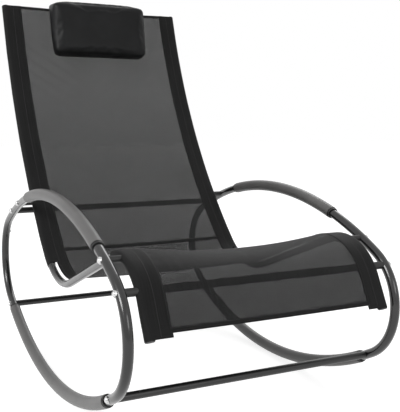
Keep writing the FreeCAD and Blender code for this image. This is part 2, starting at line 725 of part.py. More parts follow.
# Between the two hems the rail is bare and the seat's doubled edge runs just inside it.
edge = doc.addObject("PartDesign::Body", "seat_edge_cloth")
edge_path = path_sketch(edge, -rail_x, rail, front_hem_end, back_hem_start)
edge_section = section_sketch(edge, -rail_x, rail, front_hem_end)
edge_corners = [
    V(size("edge_gap"), loop_outer, 0), V(hem_reach, loop_outer, 0),
    V(hem_reach, strip_low, 0), V(size("edge_gap"), strip_low, 0),
]
for number in range(4):
    edge_section.addGeometry(Part.LineSegment(edge_corners[number], edge_corners[(number + 1) % 4]))
run_along(edge, edge_path, edge_section)
keep(edge, "seat_edge_hem_right")
keep(mirrored("seat_edge_left", edge), "seat_edge_hem_left")

# The mesh. Its middle hangs below or stands above the rail's line; across the chair it is an arc.
mesh_half = rail_x - hem_reach
mesh_edge = loop_outer - cloth
front_edge = size("front_edge_setback")
RISES = [
    (front_edge, size("rise_front_edge")),
    (tie_rail_along, size("rise_tie_bar")),
    (knee_start + knee_radius * leg, size("rise_knee")),
    ((knee_end + seat_end) / 2, size("rise_seat")),
    ((seat_end + waist_end) / 2, size("rise_waist")),
    (waist_end + 0.45 * (rail.length - waist_end), size("rise_back")),
    (waist_end + 0.83 * (rail.length - waist_end), size("rise_back")),
    (rail.length, size("rise_top")),
]


def rise_at(along):
    """The mesh's height in the middle, eased from one given place to the next."""
    for (a, low), (b, high) in zip(RISES, RISES[1:]):
        if along <= b:
            share = max(0.0, (along - a) / (b - a))
            return low + (high - low) * share * share * (3 - 2 * share)
    return RISES[-1][1]


def across(along, half_thickness):
    """The mesh's outline across the chair at one place: two flat arcs and two short upright ends."""
    def point(x, rise):
        y, z, _ = rail.at(along, rise)
        return V(x, y, z)
    middle = rise_at(along)
    outer = Part.Arc(
        point(-mesh_half, mesh_edge + half_thickness),
        point(0, middle + half_thickness),
        point(mesh_half, mesh_edge + half_thickness),
    )
    inner = Part.Arc(
        point(mesh_half, mesh_edge - half_thickness),
        point(0, middle - half_thickness),
        point(-mesh_half, mesh_edge - half_thickness),
    )
    ends = [
        Part.LineSegment(outer.EndPoint, inner.StartPoint),
        Part.LineSegment(inner.EndPoint, outer.StartPoint),
    ]
    return Part.Wire([outer.toShape(), ends[0].toShape(), inner.toShape(), ends[1].toShape()])


def mesh_panel(label, stations, half_thickness):
    """One panel, lofted through its outline at each place, across every fold of the sling."""
    panel = doc.addObject("Part::Feature", label + "_cloth")
    panel.Shape = Part.makeLoft([across(along, half_thickness) for along in stations], True, False)
    return keep(panel, label)


def spread(low, high, count):
    return [low + (high - low) * i / count for i in range(count)]


half_cloth = cloth / 2
half_seam = size("seam_width") / 2
seam_at = waist_end
front_edge_hem_end = front_edge + size("front_edge_hem_width")
top_hem_start = rail.length - size("top_hem_width")
mesh_panel("front_edge_hem", [front_edge, front_edge_hem_end], cloth)
mesh_panel("seat_mesh", (
    spread(front_edge_hem_end, knee_start, 2) + spread(knee_start, knee_end, 8)
    + spread(knee_end, seat_end, 4) + spread(seat_end, seam_at - half_seam, 6) + [seam_at - half_seam]
), half_cloth)
mesh_panel("waist_seam", [seam_at - half_seam, seam_at, seam_at + half_seam], size("seam_thickness") / 2)
mesh_panel("back_mesh", spread(seam_at + half_seam, top_hem_start, 9) + [top_hem_start], half_cloth)
mesh_panel("top_hem", [top_hem_start, rail.length], cloth)

# The head pillow lies on the top of the back and stands a little above it. It is drawn here in the
# back's own directions: up along the back, and out towards the sitter.
pillow_height = size("pillow_height")
pillow_mid_along = rail.length + size("pillow_overhang") - pillow_height / 2
pillow_y, pillow_z, pillow_heading = rail.at(pillow_mid_along)
up_back = V(0, math.cos(pillow_heading), math.sin(pillow_heading))
out_front = V(0, -math.sin(pillow_heading), math.cos(pillow_heading))


def beside_back(x, up, out):
    return V(x, pillow_y, pillow_z) + up_back * up + out_front * out


top_edge = rail.at(rail.length, size("rise_top") + cloth)
top_rise = (V(0, top_edge[0], top_edge[1]) - V(0, pillow_y, pillow_z)).dot(out_front)
pillow_back = top_rise + size("pillow_clearance")
pillow_depth_middle = pillow_back + (size("pillow_top_thickness") + size("pillow_foot_thickness")) / 4

# The pillow seen from the end, corner by corner: up along the back, out from it, the corner's
# rounding. It is a wedge with its thick side up, and its top slopes down towards the sitter.
pillow_corners = [
    (-1.0, 0.0, 0.0, "pillow_rear_corner"),
    (1.0, 0.0, 0.0, "pillow_rear_corner"),
    (1.0, -size("pillow_top_slope"), size("pillow_top_thickness"), "pillow_front_corner"),
    (-1.0, 0.0, size("pillow_foot_thickness"), "pillow_front_corner"),
]


def pillow_outline(x, tall, thick, corner, inset):
    """The pillow's outline at one place across it: four crowned sides and four rounded corners."""
    points = [
        V(0, (side * pillow_height / 2 + lower) * tall,
          pillow_depth_middle + (pillow_back + deep - pillow_depth_middle) * thick)
        for side, lower, deep, _ in pillow_corners
    ]
    towards = [(points[(i + 1) % 4] - points[i]).normalize() for i in range(4)]
    starts, bends, ends = [], [], []
    for i, (_, _, _, rounding) in enumerate(pillow_corners):
        forward, backward = towards[i], towards[i - 1] * -1
        tip = points[i] + (forward + backward) * (inset / forward.cross(backward).Length)
        reach = size(rounding) * corner - inset / 2
        starts.append(tip + backward * reach)
        ends.append(tip + forward * reach)
        bends.append((starts[i] + ends[i]) * (1 - math.sqrt(0.5)) + tip * (math.sqrt(2) - 1))
    arcs = []
    for i in range(4):
        after = (i + 1) % 4
        outward = V(0, towards[i].z, -towards[i].y)
        crowned = (ends[i] + starts[after]) * 0.5 + outward * size("pillow_crown")
        for group_of_three in ((starts[i], bends[i], ends[i]), (ends[i], crowned, starts[after])):
            arcs.append(Part.Arc(*[beside_back(x, at.y, at.z) for at in group_of_three]).toShape())
    return Part.Wire(arcs)


# Each row: how far out from the middle, and the shares of the full height, thickness and rounding.
PILLOW_SHAPE = [
    (1.0, 0.86, 0.70, 0.55), (0.96, 0.925, 0.82, 0.80), (0.85, 0.945, 0.90, 0.95),
    (0.7, 0.955, 0.935, 1.0), (0.5, 0.955, 0.96, 1.0), (0.25, 0.955, 0.98, 1.0), (0.0, 0.955, 0.985, 1.0),
]


def pillow_form(name, inset):
    """The stuffed form, or the same form made smaller all round by the inset."""
    outlines = []
    for side in (-1, 1):
        rows = PILLOW_SHAPE if side < 0 else PILLOW_SHAPE[-2::-1]
        for out, tall, thick, corner in rows:
            x = side * out * (size("pillow_width") / 2 - inset)
            outlines.append(pillow_outline(x, tall, thick, corner, inset))
    form = doc.addObject("Part::Feature", name)
    form.Shape = Part.makeLoft(outlines, True, False)
    return form


# The cover and its light filling together weigh as much as a shell of this thickness made of cloth.
keep(cut("pillow_shell", pillow_form("pillow_outside", 0.0), [pillow_form("pillow_inside", size("pillow_wall"))]), "pillow")

# Two straps leave the pillow's upper back edge, cross the top hem and hang straight down behind it.
strap_half = size("strap_thickness") / 2
strap_inset = (size("strap_spacing") - size("strap_width")) / 2
hem_rise = size("rise_top") + (mesh_edge - size("rise_top")) * (strap_inset / mesh_half) ** 2
turn_radius = size("strap_turn_radius")
strap_level = size("strap_clearance") + strap_half
corner_y, corner_z, hem_heading = rail.at(rail.length, hem_rise - cloth)
back_heading = hem_heading - math.pi / 2
strap_lead = pillow_back - top_rise + 2 * cloth + size("strap_reach")
strap_line = Track(
    corner_y + strap_level * math.cos(hem_heading) - strap_lead * math.cos(back_heading),
    corner_z + strap_level * math.sin(hem_heading) - strap_lead * math.sin(back_heading),
    back_heading,
    [
        (strap_lead, 0),
        (turn_radius * (back_heading + math.pi / 2), -1 / turn_radius),
        (size("strap_drop"), 0),
    ],
)
straps = []
for side in (-1, 1):
    body = doc.addObject("PartDesign::Body", "strap_left" if side > 0 else "strap_right")
    middle = side * size("strap_spacing") / 2
    flat = sketch_on(body, "YZ_Plane", FreeCAD.Placement(V(0, 0, middle), FreeCAD.Rotation()), "Strap")
    outer = strap_line.edges(0, strap_line.length, strap_half)
    inner = strap_line.edges(0, strap_line.length, -strap_half)
    for curve in outer + inner:
        flat.addGeometry(curve)
    flat.addGeometry(Part.LineSegment(outer[0].StartPoint, inner[0].StartPoint))
    flat.addGeometry(Part.LineSegment(outer[-1].EndPoint, inner[-1].EndPoint))
    pad = body.newObject("PartDesign::Pad", "Band")
    pad.Profile = flat
    pad.setExpression("Length", "Sizes.strap_width")
    pad.Midplane = True
    body.Tip = pad
    straps.append(body)
keep(group("straps", straps), "pillow_straps")

# The pouch hangs on the straps' ends, a flat bag that swells in the middle.
end_y, end_z, _ = strap_line.at(strap_line.length)
pouch = doc.addObject("PartDesign::Body", "pouch_body")
bag = sketch_on(
    pouch, "YZ_Plane", FreeCAD.Placement(V(end_y, end_z, 0), FreeCAD.Rotation()), "Bag",
)
bag_half = size("pouch_thickness") / 2
bag_edge = bag_half * 0.35
bag_drop = -size("pouch_height")
bag.addGeometry(Part.LineSegment(V(-bag_edge, 0, 0), V(bag_edge, 0, 0)))
bag.addGeometry(Part.Arc(V(bag_edge, 0, 0), V(bag_half, bag_drop * 0.55, 0), V(bag_edge, bag_drop, 0)))
bag.addGeometry(Part.LineSegment(V(bag_edge, bag_drop, 0), V(-bag_edge, bag_drop, 0)))
bag.addGeometry(Part.Arc(V(-bag_edge, bag_drop, 0), V(-bag_half, bag_drop * 0.55, 0), V(-bag_edge, 0, 0)))
filled = pouch.newObject("PartDesign::Pad", "Filled")
filled.Profile = bag
filled.setExpression("Length", "Sizes.pouch_width")
filled.Midplane = True
pouch.Tip = filled
keep(pouch, "pillow_counterweight")

doc.recompute()

for obj in doc.Objects:
    if "Invalid" in obj.State or "Error" in obj.State:
        raise RuntimeError(f"{obj.Name} did not build: {obj.State}")
for label, obj in nodes.items():
    if obj.Shape.isNull() or not obj.Shape.isValid():
        raise RuntimeError(f"{label} has no valid shape")
os.makedirs("parts", exist_ok=True)
for label, obj in nodes.items():
    obj.Shape.exportStep(f"parts/{label}.step")
    solids = len(obj.Shape.Solids)
    print(f"{label}: {solids} solid{'s' if solids > 1 else ''}, {obj.Shape.Volume / 1000:.1f} cm3")
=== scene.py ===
# %% [markdown]
# # A rocking chaise lounge
#
# The chair is two oval steel hoops that roll on the floor, three crossbars, and a bent sling of woven
# mesh with a black head pillow. The steel comes in from the CAD model, already in its place, and is
# only painted here. The cloth is made here: a CAD solid can hold the space of a cloth, but not its
# weave, its stitches or the way it hangs.
#
# Everything is in metres: X runs across the chair, the sitter looks towards -Y, and Z is up.

import math

import bmesh
import bpy
from mathutils import Matrix, Vector, noise


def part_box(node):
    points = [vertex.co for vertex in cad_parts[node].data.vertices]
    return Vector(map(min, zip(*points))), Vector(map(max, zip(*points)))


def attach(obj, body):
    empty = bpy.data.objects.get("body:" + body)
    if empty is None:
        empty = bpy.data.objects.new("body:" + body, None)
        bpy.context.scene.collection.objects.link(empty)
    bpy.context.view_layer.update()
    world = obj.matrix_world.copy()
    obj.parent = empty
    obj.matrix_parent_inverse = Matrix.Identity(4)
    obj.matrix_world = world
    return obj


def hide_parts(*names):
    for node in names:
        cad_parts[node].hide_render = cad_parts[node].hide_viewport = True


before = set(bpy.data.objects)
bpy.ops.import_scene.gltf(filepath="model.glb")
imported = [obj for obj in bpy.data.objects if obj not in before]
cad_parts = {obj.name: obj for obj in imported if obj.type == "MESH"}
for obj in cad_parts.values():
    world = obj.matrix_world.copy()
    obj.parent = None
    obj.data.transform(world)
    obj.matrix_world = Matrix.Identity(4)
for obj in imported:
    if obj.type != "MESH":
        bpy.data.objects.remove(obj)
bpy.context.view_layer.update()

# %% [markdown]
# ## The line the sling follows
#
# Everything made of cloth hangs on two side rails, and both rails have the same side view: a straight
# lower leg, a round knee, a straight seat, a round waist and a long gentle curve for the back. If we
# can walk that line by length, each hem, seam and stitch is placed by one number, as a sewer would
# place it with a tape measure.
#
# A Bezier curve would do too, but its handles never give true arcs, and the rails are true arcs. So we
# keep a list of straights and arcs, and work out the point at any length.

# %% The rail's line, and a function that walks it
RAIL_START = (-0.4780, 0.2370)
LEG_HEADING = math.radians(63.0)
RAIL_RUNS = [
    ("leg", 0.0690, 0.0),
    ("knee", 0.17444, -1 / 0.118),
    ("seat", 0.2960, 0.0),
    ("waist", 0.20287, 1 / 0.178),
    ("back", 0.76732, 1 / 1.516),
]


def walk(y, z, heading, bend, length):
    """Go a length along a straight (bend 0) or an arc (bend is 1 over its radius, positive to the left)."""
    if bend == 0:
        return y + length * math.cos(heading), z + length * math.sin(heading), heading
    turned = heading + bend * length
    y += (math.sin(turned) - math.sin(heading)) / bend
    z += (math.cos(heading) - math.cos(turned)) / bend
    return y, z, turned


rail_pieces = []
rail_ends = {}
spot = (*RAIL_START, LEG_HEADING)
rail_length = 0.0
for run_name, run_length, bend in RAIL_RUNS:
    rail_pieces.append((rail_length, bend, spot))
    spot = walk(*spot, bend, run_length)
    rail_length += run_length
    rail_ends[run_name] = rail_length
print("rail length:", round(rail_length, 4), "m; it ends at", [round(v, 4) for v in spot])


def rail_at(along, rise=0.0):
    """The rail's point and heading at a length, lifted off the rail on the sitter's side by the rise."""
    start, bend, (y, z, heading) = [p for p in rail_pieces if p[0] <= max(along, 0.0)][-1]
    y, z, heading = walk(y, z, heading, bend, along - start)
    return y - rise * math.sin(heading), z + rise * math.cos(heading), heading


# %% [markdown]
# ## How the mesh sags
#
# Pulled tight from side to side, the mesh is straight only at its two edges. In the middle it follows
# what holds it: it lies on the tie bar under the knee, hangs below the rails over the knee's crest,
# and dips a little behind the sitter's shoulders. A few measured heights, eased from one to the next,
# give the middle, and across the chair the cloth is a flat parabola.

# %% The height of the mesh over the rails' line
RAIL_X = 0.257
HEM_REACH = 0.0405
MESH_HALF = RAIL_X - HEM_REACH
MESH_EDGE_RISE = 0.00915
FRONT_EDGE = 0.008
MIDDLE_RISES = [
    (FRONT_EDGE, 0.0060),
    (0.08992, 0.0089),
    (0.19875, -0.0060),
    (0.39144, -0.0030),
    (0.64087, 0.0080),
    (1.08760, -0.0070),
    (1.37918, -0.0070),
    (rail_length, 0.0040),
]


def middle_rise(along):
    for (a, low), (b, high) in zip(MIDDLE_RISES, MIDDLE_RISES[1:]):
        if along <= b:
            share = min(1.0, max(0.0, (along - a) / (b - a)))
            return low + (high - low) * share * share * (3 - 2 * share)
    return MIDDLE_RISES[-1][1]


def mesh_rise(x, along):
    middle = middle_rise(along)
    return middle + (MESH_EDGE_RISE - middle) * (x / MESH_HALF) ** 2


def sling_point(x, along, rise=None):
    y, z, _ = rail_at(along, mesh_rise(x, along) if rise is None else rise)
    return Vector((x, y, z))


# %% [markdown]
# ## Two helpers for meshes
#
# A cloth strip, a hem and a strap are all the same kind of thing: rows of points, joined to the next
# row by four-sided faces. One helper builds that from a table of points. It also writes a UV map in
# real metres, so that a woven pattern has the same thread count on every piece.

# %% Make a mesh from rows of points
def strip(name, rows, closed=False, uv=None, smooth=True):
    """rows is a list of equally long lists of points; closed joins each row's last point to its first."""
    across = len(rows[0])
    points = [point for row in rows for point in row]
    faces = []
    for r in range(len(rows) - 1):
        for c in range(across if closed else across - 1):
            d = (c + 1) % across
            faces.append((r * across + c, r * across + d, (r + 1) * across + d, (r + 1) * across + c))
    mesh = bpy.data.meshes.new(name)
    mesh.from_pydata(points, [], faces)
    if uv is not None:
        layer = mesh.uv_layers.new(name="metres")
        for polygon in mesh.polygons:
            polygon_columns = [mesh.loops[i].vertex_index % across for i in polygon.loop_indices]
            wraps = closed and 0 in polygon_columns and across - 1 in polygon_columns
            for i in polygon.loop_indices:
                r, c = divmod(mesh.loops[i].vertex_index, across)
                if wraps and c == 0:
                    layer.data[i].uv = (uv[r][-1][0] + 0.002, uv[r][-1][1])
                else:
                    layer.data[i].uv = uv[r][c]
    for polygon in mesh.polygons:
        polygon.use_smooth = smooth
    thing = bpy.data.objects.new(name, mesh)
    bpy.context.scene.collection.objects.link(thing)
    return thing


def spread(low, high, count):
    """count + 1 evenly spaced values from low to high."""
    return [low + (high - low) * i / count for i in range(count + 1)]


# %% [markdown]
# ## Materials
#
# A material is a small machine of nodes that ends in one shader. To keep the recipes readable, two
# short helpers start a material and add a node. Numbers that are the same all over a surface go
# straight on the shader's own socket; only what varies is wired up.

# %% Start a material, and add nodes to it
def new_finish(name, **sockets):
    material = bpy.data.materials.new(name)
    material.use_nodes = True
    shader = material.node_tree.nodes["Principled BSDF"]
    for socket, value in sockets.items():
        shader.inputs[socket.replace("_", " ")].default_value = value
    return material, shader


def node(material, kind, settings=None, **links):
    """Add a node; settings fills its sockets by name or number, links wires them by name."""
    made = material.node_tree.nodes.new(kind)
    for key, value in (settings or {}).items():
        if isinstance(key, str) and hasattr(made, key) and key.islower():
            setattr(made, key, value)
        else:
            made.inputs[key].default_value = value
    for key, source in links.items():
        socket = made.inputs[int(key[1:])] if key[0] == "_" else made.inputs[key.replace("_", " ")]
        material.node_tree.links.new(source, socket)
    return made


def connect(material, source, target):
    material.node_tree.links.new(source, target)


def grey(tone, warm=0.0):
    """A grey as it looks on a screen, 0 to 1, turned into the linear colour a shader wants."""
    linear = tone ** 2.2
    return (linear * (1 + warm), linear, linear * (1 - warm), 1.0)


def two_tones(material, factor, dark, light, low=0.35, high=0.65):
    """A colour that drifts between two close tones."""
    ramp = node(material, "ShaderNodeValToRGB", {}, Fac=factor)
    ramp.color_ramp.elements[0].position = low
    ramp.color_ramp.elements[1].position = high
    ramp.color_ramp.elements[0].color = dark
    ramp.color_ramp.elements[1].color = light
    return ramp.outputs["Color"]


# %% [markdown]
# ### Painted steel
#
# The hoops and rails are sprayed a dark gunmetal and lacquered: dark, a little metallic, with sharp
# highlights that run along the tube. Real lacquer is never perfectly even, so a coarse noise moves the
# tone and the roughness a little, and a fine one makes a faint bump. The crossbars are a plainer satin black.

# %% Gunmetal lacquer and black paint
def painted_steel(name, dark, light, rough_low, rough_high, **sockets):
    paint, shader = new_finish(name, **sockets)
    place = node(paint, "ShaderNodeTexCoord").outputs["Object"]
    drift = node(paint, "ShaderNodeTexNoise", {"Scale": 9.0, "Detail": 3.0}, Vector=place)
    flake = node(paint, "ShaderNodeTexNoise", {"Scale": 1400.0, "Detail": 2.0}, Vector=place)
    connect(paint, two_tones(paint, drift.outputs["Fac"], dark, light), shader.inputs["Base Color"])
    rough = node(
        paint, "ShaderNodeMapRange", {"To Min": rough_low, "To Max": rough_high}, Value=drift.outputs["Fac"],
    )
    connect(paint, rough.outputs["Result"], shader.inputs["Roughness"])
    bump = node(paint, "ShaderNodeBump", {"Strength": 0.04, "Distance": 0.0002}, Height=flake.outputs["Fac"])
    connect(paint, bump.outputs["Normal"], shader.inputs["Normal"])
    return paint


gunmetal = painted_steel(
    "gunmetal_lacquer", grey(0.12), grey(0.155), 0.20, 0.30,
    Metallic=0.35, Coat_Weight=0.5, Coat_Roughness=0.12,
)
bar_black = painted_steel(
    "black_bar_paint", grey(0.055), grey(0.075), 0.34, 0.46,
    Metallic=0.0, Coat_Weight=0.1, Coat_Roughness=0.3,
)
print("painted steel:", gunmetal.name, bar_black.name)

# %% [markdown]
# ### Sleeves, plastic and bright screws
#
# The armrests and rocker pads are soft plastic sleeves with a fine pebbled skin: a Voronoi texture,
# squeezed small and used only as bump, gives the pebbles. The end rings, spacers and caps are plain
# black moulded plastic, and the screw heads are bright zinc with faint brushed streaks.

# %% Sleeve skin, black plastic, bright zinc
def pebbled(name, dark, light, grain, depth, rough, **sockets):
    skin, shader = new_finish(name, Roughness=rough, **sockets)
    place = node(skin, "ShaderNodeTexCoord").outputs["Object"]
    drift = node(skin, "ShaderNodeTexNoise", {"Scale": 14.0, "Detail": 4.0}, Vector=place)
    connect(skin, two_tones(skin, drift.outputs["Fac"], dark, light), shader.inputs["Base Color"])
    pebbles = node(skin, "ShaderNodeTexVoronoi", {"Scale": grain}, Vector=place)
    bump = node(
        skin, "ShaderNodeBump", {"Strength": depth, "Distance": 0.0003}, Height=pebbles.outputs["Distance"],
    )
    connect(skin, bump.outputs["Normal"], shader.inputs["Normal"])
    return skin


sleeve_skin = pebbled(
    "sleeve_skin", grey(0.315, 0.02), grey(0.35, 0.02), 900.0, 0.25, 0.42,
    Coat_Weight=0.08, Coat_Roughness=0.35,
)
black_plastic = pebbled("black_plastic", grey(0.07), grey(0.09), 1600.0, 0.15, 0.5)
zinc, zinc_shader = new_finish("bright_zinc", Metallic=1.0)
zinc_place = node(zinc, "ShaderNodeTexCoord").outputs["Object"]
zinc_streaks = node(zinc, "ShaderNodeTexNoise", {"Scale": 900.0, "Detail": 2.0}, Vector=zinc_place)
zinc_streak = zinc_streaks.outputs["Fac"]
connect(zinc, two_tones(zinc, zinc_streak, grey(0.72), grey(0.86)), zinc_shader.inputs["Base Color"])
zinc_rough = node(zinc, "ShaderNodeMapRange", {"To Min": 0.18, "To Max": 0.34}, Value=zinc_streak)
connect(zinc, zinc_rough.outputs["Result"], zinc_shader.inputs["Roughness"])

# %% [markdown]
# ### Woven mesh
#
# The sling is woven from coated yarn with small square holes, so the chair's far side shows through
# it faintly. Modelling every thread would take millions of faces. Instead two sine waves, one per
# thread direction, draw the weave from the UV map in metres. Where both waves are low there is no
# thread, and the surface is clear; elsewhere the waves lift and lower the bump, over and under.
#
# The hems are the same cloth folded double, where the holes of one layer are covered by the other, so
# they get the same weave with hardly any holes.

# %% A weave drawn by two sine waves
def maths(material, operation, a, b=None):
    made = material.node_tree.nodes.new("ShaderNodeMath")
    made.operation = operation
    for index, value in enumerate((a, b)):
        if value is None:
            continue
        if isinstance(value, (int, float)):
            made.inputs[index].default_value = value
        else:
            material.node_tree.links.new(value, made.inputs[index])
    return made.outputs[0]


def woven(name, dark, light, pitch, hole_width, depth, rough=0.62, low_hole_width=None):
    """Cloth of round yarn: pitch is from thread to thread, hole_width the clear share of that.

    With a low_hole_width, the back's weave is closer at the waist, where it carries more weight."""
    cloth, shader = new_finish(name, Roughness=rough, Sheen_Weight=0.02, Sheen_Roughness=0.5)
    shader.inputs["Specular IOR Level"].default_value = 0.12
    uv = node(cloth, "ShaderNodeUVMap", {"uv_map": "metres"}).outputs["UV"]
    axes = node(cloth, "ShaderNodeSeparateXYZ", Vector=uv)
    warp_wave = maths(cloth, "SINE", maths(cloth, "MULTIPLY", axes.outputs["X"], math.pi / pitch))
    weft_wave = maths(cloth, "SINE", maths(cloth, "MULTIPLY", axes.outputs["Y"], math.pi / pitch))
    warp = maths(cloth, "ABSOLUTE", warp_wave)
    weft = maths(cloth, "ABSOLUTE", weft_wave)
    over = maths(cloth, "MULTIPLY", maths(cloth, "MULTIPLY", warp_wave, weft_wave), 0.45)
    height = maths(
        cloth, "MAXIMUM",
        maths(cloth, "ADD", warp, over),
        maths(cloth, "SUBTRACT", weft, over),
    )
    bump = node(cloth, "ShaderNodeBump", {"Strength": depth, "Distance": 0.0004}, Height=height)
    connect(cloth, bump.outputs["Normal"], shader.inputs["Normal"])
    place = node(cloth, "ShaderNodeTexCoord").outputs["Object"]
    blotch = node(cloth, "ShaderNodeTexNoise", {"Scale": 11.0, "Detail": 4.0}, Vector=place)
    stretch = node(cloth, "ShaderNodeMapping", {}, Vector=uv)
    stretch.inputs["Scale"].default_value = (420.0, 9.0, 1.0)
    yarn = node(cloth, "ShaderNodeTexNoise", {"Scale": 1.0, "Detail": 3.0}, Vector=stretch.outputs["Vector"])
    blotches = maths(cloth, "MULTIPLY", blotch.outputs["Fac"], 0.4)
    yarns = maths(cloth, "MULTIPLY", yarn.outputs["Fac"], 0.6)
    mixed = maths(cloth, "ADD", blotches, yarns)
    connect(cloth, two_tones(cloth, mixed, dark, light), shader.inputs["Base Color"])
    if hole_width > 0:
        edge = math.sin(math.pi * hole_width / 2)
        if low_hole_width:
            low_edge = math.sin(math.pi * low_hole_width / 2)
            taper = node(cloth, "ShaderNodeMapRange", {
                "From Min": 0.72, "From Max": 1.25, "To Min": low_edge, "To Max": edge,
            }, Value=axes.outputs["Y"])
            edge = taper.outputs["Result"]
        in_warp = maths(cloth, "GREATER_THAN", warp, edge)
        in_weft = maths(cloth, "GREATER_THAN", weft, edge)
        thread = maths(cloth, "MAXIMUM", in_warp, in_weft)
        connect(cloth, thread, shader.inputs["Alpha"])
    return cloth


back_cloth = woven("sling_mesh", grey(0.11), grey(0.17), 0.0014, 0.28, 0.5, low_hole_width=0.19)
# The seat's mesh is a copy of the back's with darker tones and smaller holes. The darker tones are painted
# shade for the seat, which gets less light than the back. The smaller holes stand for the closer look of the
# weave seen at a slant.
seat_cloth_painted_shade = woven("seat_sling_mesh_painted_shade", grey(0.10), grey(0.15), 0.0014, 0.18, 0.5)
hem_cloth = woven("hem_cloth", grey(0.095), grey(0.13), 0.0014, 0.0, 0.45)
thread_finish, thread_shader = new_finish("black_thread", Roughness=0.55, Sheen_Weight=0.3)
thread_place = node(thread_finish, "ShaderNodeTexCoord").outputs["Object"]
thread_noise = node(thread_finish, "ShaderNodeTexNoise", {"Scale": 700.0, "Detail": 2.0}, Vector=thread_place)
thread_tone = two_tones(thread_finish, thread_noise.outputs["Fac"], grey(0.06), grey(0.13))
connect(thread_finish, thread_tone, thread_shader.inputs["Base Color"])
print("clear share of the mesh:", round(0.28 ** 2, 3))

# %% [markdown]
# ### Pillow cover
#
# The head pillow is covered in black coated cloth that imitates leather. Leather's grain is a net of
# tiny creases, so the Voronoi texture is used again, this time by the distance to the cells' edges,
# with a slow noise that makes some parts a little shinier from use.

# %% Grained black cover
cover, cover_shader = new_finish("pillow_cover", Coat_Weight=0.03, Coat_Roughness=0.35)
cover_shader.inputs["Specular IOR Level"].default_value = 0.12
cover_place = node(cover, "ShaderNodeTexCoord").outputs["Object"]
cover_drift = node(cover, "ShaderNodeTexNoise", {"Scale": 18.0, "Detail": 4.0}, Vector=cover_place)
drift = cover_drift.outputs["Fac"]
cover_tone = two_tones(cover, drift, grey(0.10, -0.03), grey(0.125, -0.03))
connect(cover, cover_tone, cover_shader.inputs["Base Color"])
cover_rough = node(cover, "ShaderNodeMapRange", {"To Min": 0.38, "To Max": 0.52}, Value=drift)
connect(cover, cover_rough.outputs["Result"], cover_shader.inputs["Roughness"])
creases = node(
    cover, "ShaderNodeTexVoronoi", {"feature": "DISTANCE_TO_EDGE", "Scale": 620.0}, Vector=cover_place,
)
grain_bump = node(
    cover, "ShaderNodeBump", {"Strength": 0.35, "Distance": 0.0003}, Height=creases.outputs["Distance"],
)
connect(cover, grain_bump.outputs["Normal"], cover_shader.inputs["Normal"])

# %% [markdown]
# ## Paint the steel and the fittings
#
# The CAD pieces stay as they are. Each gets its finish.

# %% Give each CAD piece its finish
FINISHES = {
    gunmetal: [
        "hoop_upper_tube_right", "hoop_upper_tube_left", "hoop_lower_tube_right", "hoop_lower_tube_left",
        "sling_rail_right", "sling_rail_left",
    ],
    bar_black: ["crossbar_rear_upper", "crossbar_rear_lower", "crossbar_front_lower", "front_tie_bar"],
    sleeve_skin: ["armrest_sleeve_right", "armrest_sleeve_left", "rocker_pad_right", "rocker_pad_left"],
    black_plastic: ["sleeve_end_rings", "rail_end_caps", "rail_spacers", "tie_bar_spacers"],
    zinc: [
        "saddle_washers", "crossbar_screws", "tie_bar_screws", "rail_screws", "rail_cap_nuts",
        "splice_screws", "hoop_joint_spigots", "bar_end_plugs",
    ],
}
for finish, names in FINISHES.items():
    for name in names:
        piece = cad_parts[name]
        piece.data.materials.clear()
        piece.data.materials.append(finish)
    print(finish.name, "on", len(names), "pieces")

# %% [markdown]
# ## The two mesh panels
#
# Each panel is a single sheet without thickness, a fine grid that follows the sling's line. Cloth that
# is sewn to a stiff hem ripples a little along the stitches, and is drawn into faint creases where
# something presses on it, here below the pillow's corner. Both are small moves of the grid's points.
# A cloth simulation could find such creases too, but a stretched cloth hardly moves, and a formula
# puts them where they are.

# %% Seat and back panels
SEAM = rail_ends["waist"]
SEAM_HALF = 0.005
FRONT_HEM_END = FRONT_EDGE + 0.010
TOP_HEM_START = rail_length - 0.008


def ripple(x, along):
    """Small moves off the smooth sling: puckers at the side hems, creases under the pillow's corner."""
    near_edge = max(0.0, 1 - (MESH_HALF - abs(x)) / 0.02)
    puckers = 0.0004 * near_edge * math.sin(along * 2 * math.pi / 0.021 + 5 * noise.noise((along * 9, x, 0)))
    dx = x + 0.145
    da = along - (rail_length - 0.185)
    fade = math.exp(-(dx * dx + da * da) / (2 * 0.055 ** 2))
    creases = 0.0016 * fade * math.sin((dx * 0.55 + da * 0.85) * 2 * math.pi / 0.034)
    slow = 0.0008 * noise.noise((x * 7, along * 5, 3.0))
    return puckers + creases + slow * (1 - near_edge)


def mesh_panel(name, first, last, rows_count, cloth):
    rows = []
    uv = []
    for along in spread(first, last, rows_count):
        xs = spread(-MESH_HALF, MESH_HALF, 72)
        rows.append([sling_point(x, along, mesh_rise(x, along) + ripple(x, along)) for x in xs])
        uv.append([(x, along) for x in xs])
    panel = strip(name, rows, uv=uv)
    panel.data.materials.append(cloth)
    return panel


seat_sheet = mesh_panel("seat_sheet", FRONT_HEM_END - 0.002, SEAM - 0.002, 190, seat_cloth_painted_shade)
back_sheet = mesh_panel("back_sheet", SEAM + 0.002, TOP_HEM_START + 0.002, 190, back_cloth)
print("mesh panels:", len(seat_sheet.data.polygons) + len(back_sheet.data.polygons), "faces")

# %% [markdown]
# ## The side hems
#
# A hem is a loop of cloth that the rail is pushed through, sewn flat into a doubled strip. Its
# section is like a letter P lying down: the bowl goes round the rail, the stem runs inward over the
# mesh. We draw the section once, as points in "inward" and "up" directions, and carry it along the
# rail. Slow waves in the loop keep it from looking like a moulded pipe.

# %% The hem's section, carried along the rail
LOOP = 0.00995
STRIP_LOW = 0.00835


